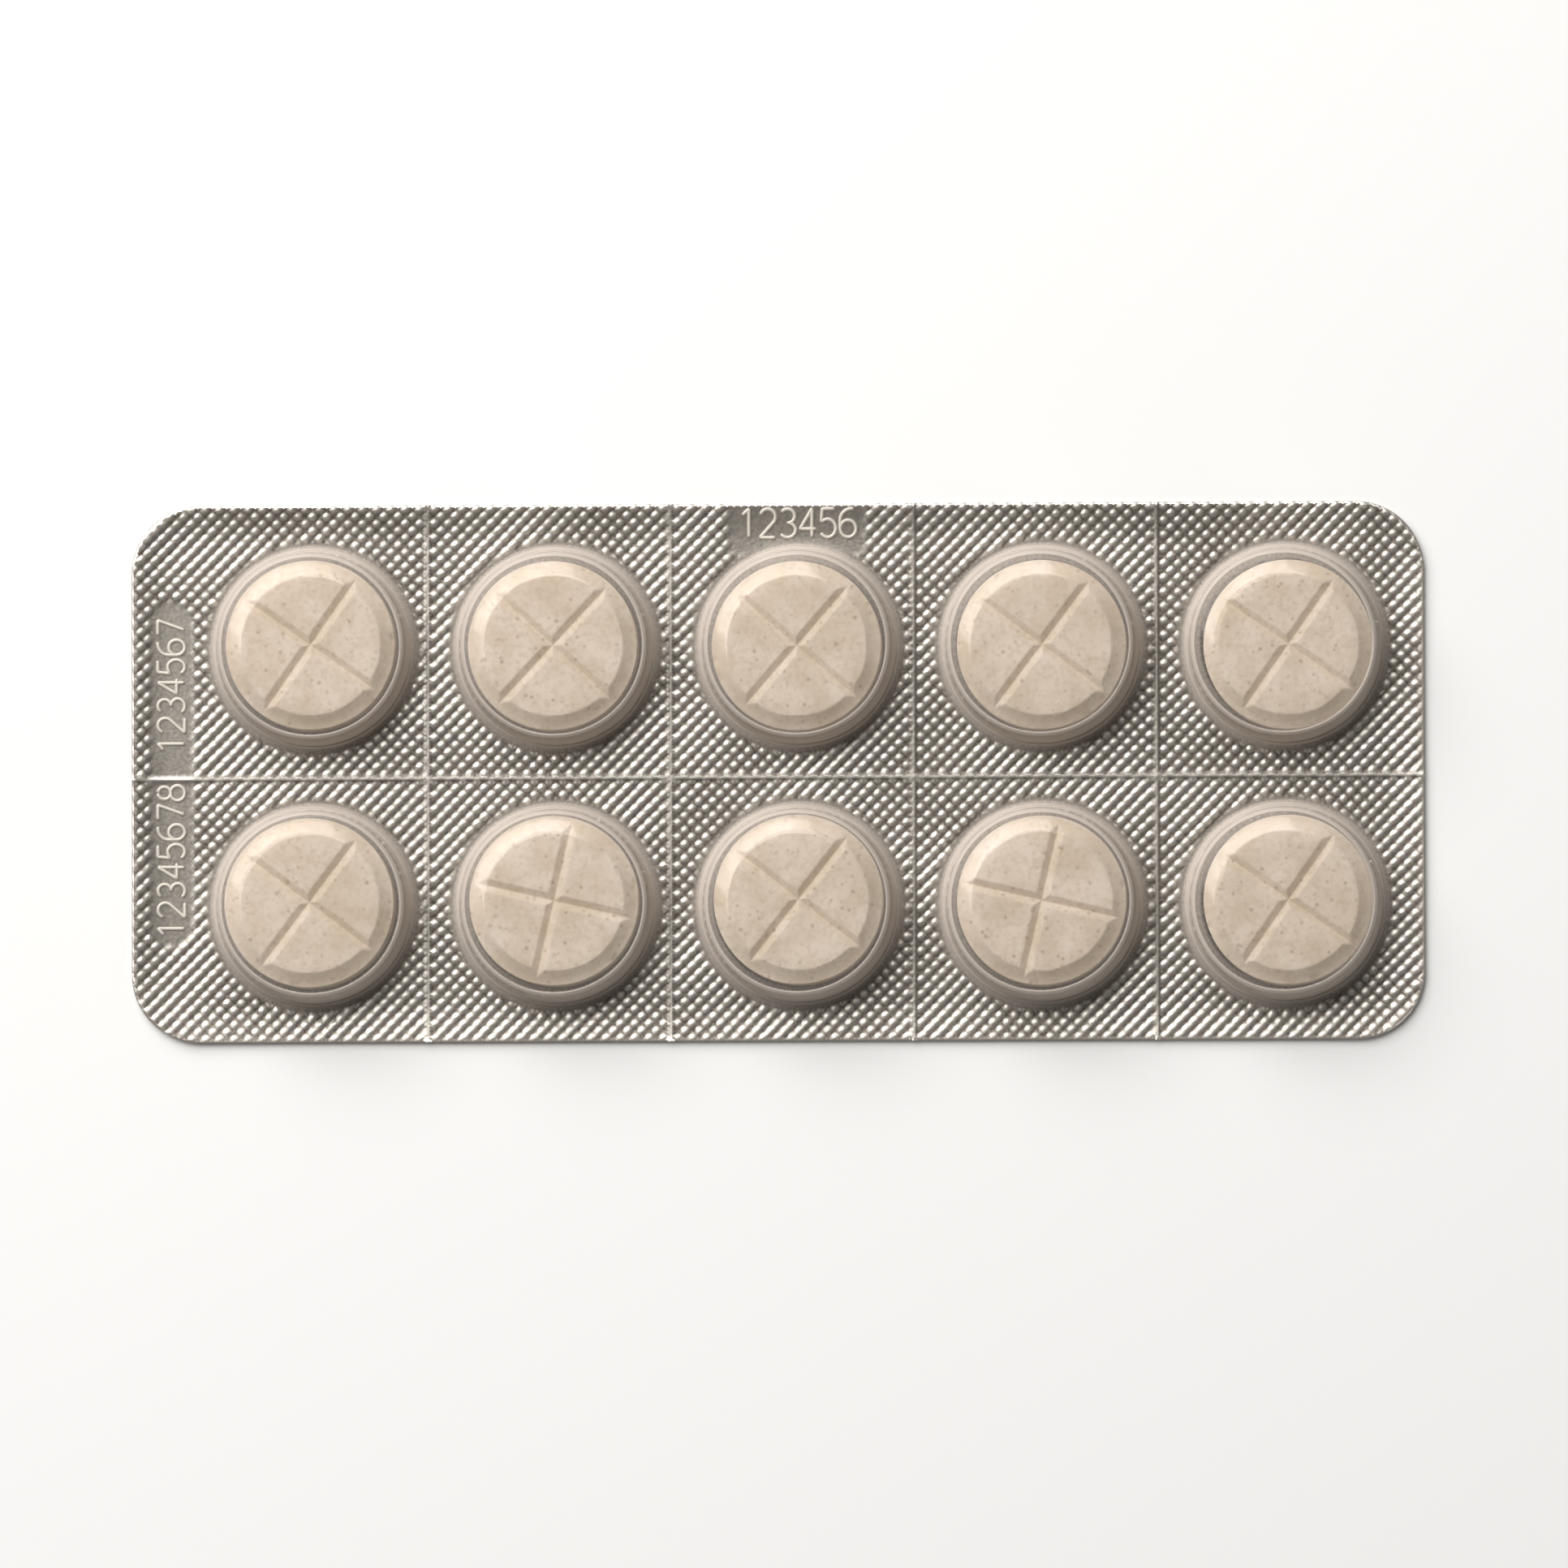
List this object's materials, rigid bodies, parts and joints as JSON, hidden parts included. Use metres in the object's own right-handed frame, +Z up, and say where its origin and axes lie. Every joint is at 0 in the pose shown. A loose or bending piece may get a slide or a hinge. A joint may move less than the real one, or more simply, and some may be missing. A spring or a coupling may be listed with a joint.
{
  "type": "pill blister pack",
  "caption": "Flat push-through pack with round clear pockets in rows, each holding a cross-scored tablet, sealed with foil and creased for tearing.",
  "frame": {"origin": "middle of the pack's underside, on the surface it lies on", "axes": "+X along the pack, away from its wide sealing margin; +Y across it; +Z up through the pockets"},
  "size_m": [0.094, 0.039, 0.0046],
  "materials": {
    "clear_film": "clear thermoformed film",
    "foil": "bright rolled foil, heat-sealed",
    "tablet": "pressed powder, matt"
  },
  "bodies": {
    "root": {"forming_film": "clear_film", "lidding_foil": "foil", "tablet_1_1": "tablet", "tablet_1_2": "tablet", "tablet_1_3": "tablet", "tablet_1_4": "tablet", "tablet_1_5": "tablet", "tablet_2_1": "tablet", "tablet_2_2": "tablet", "tablet_2_3": "tablet", "tablet_2_4": "tablet", "tablet_2_5": "tablet"}
  },
  "joints": []
}
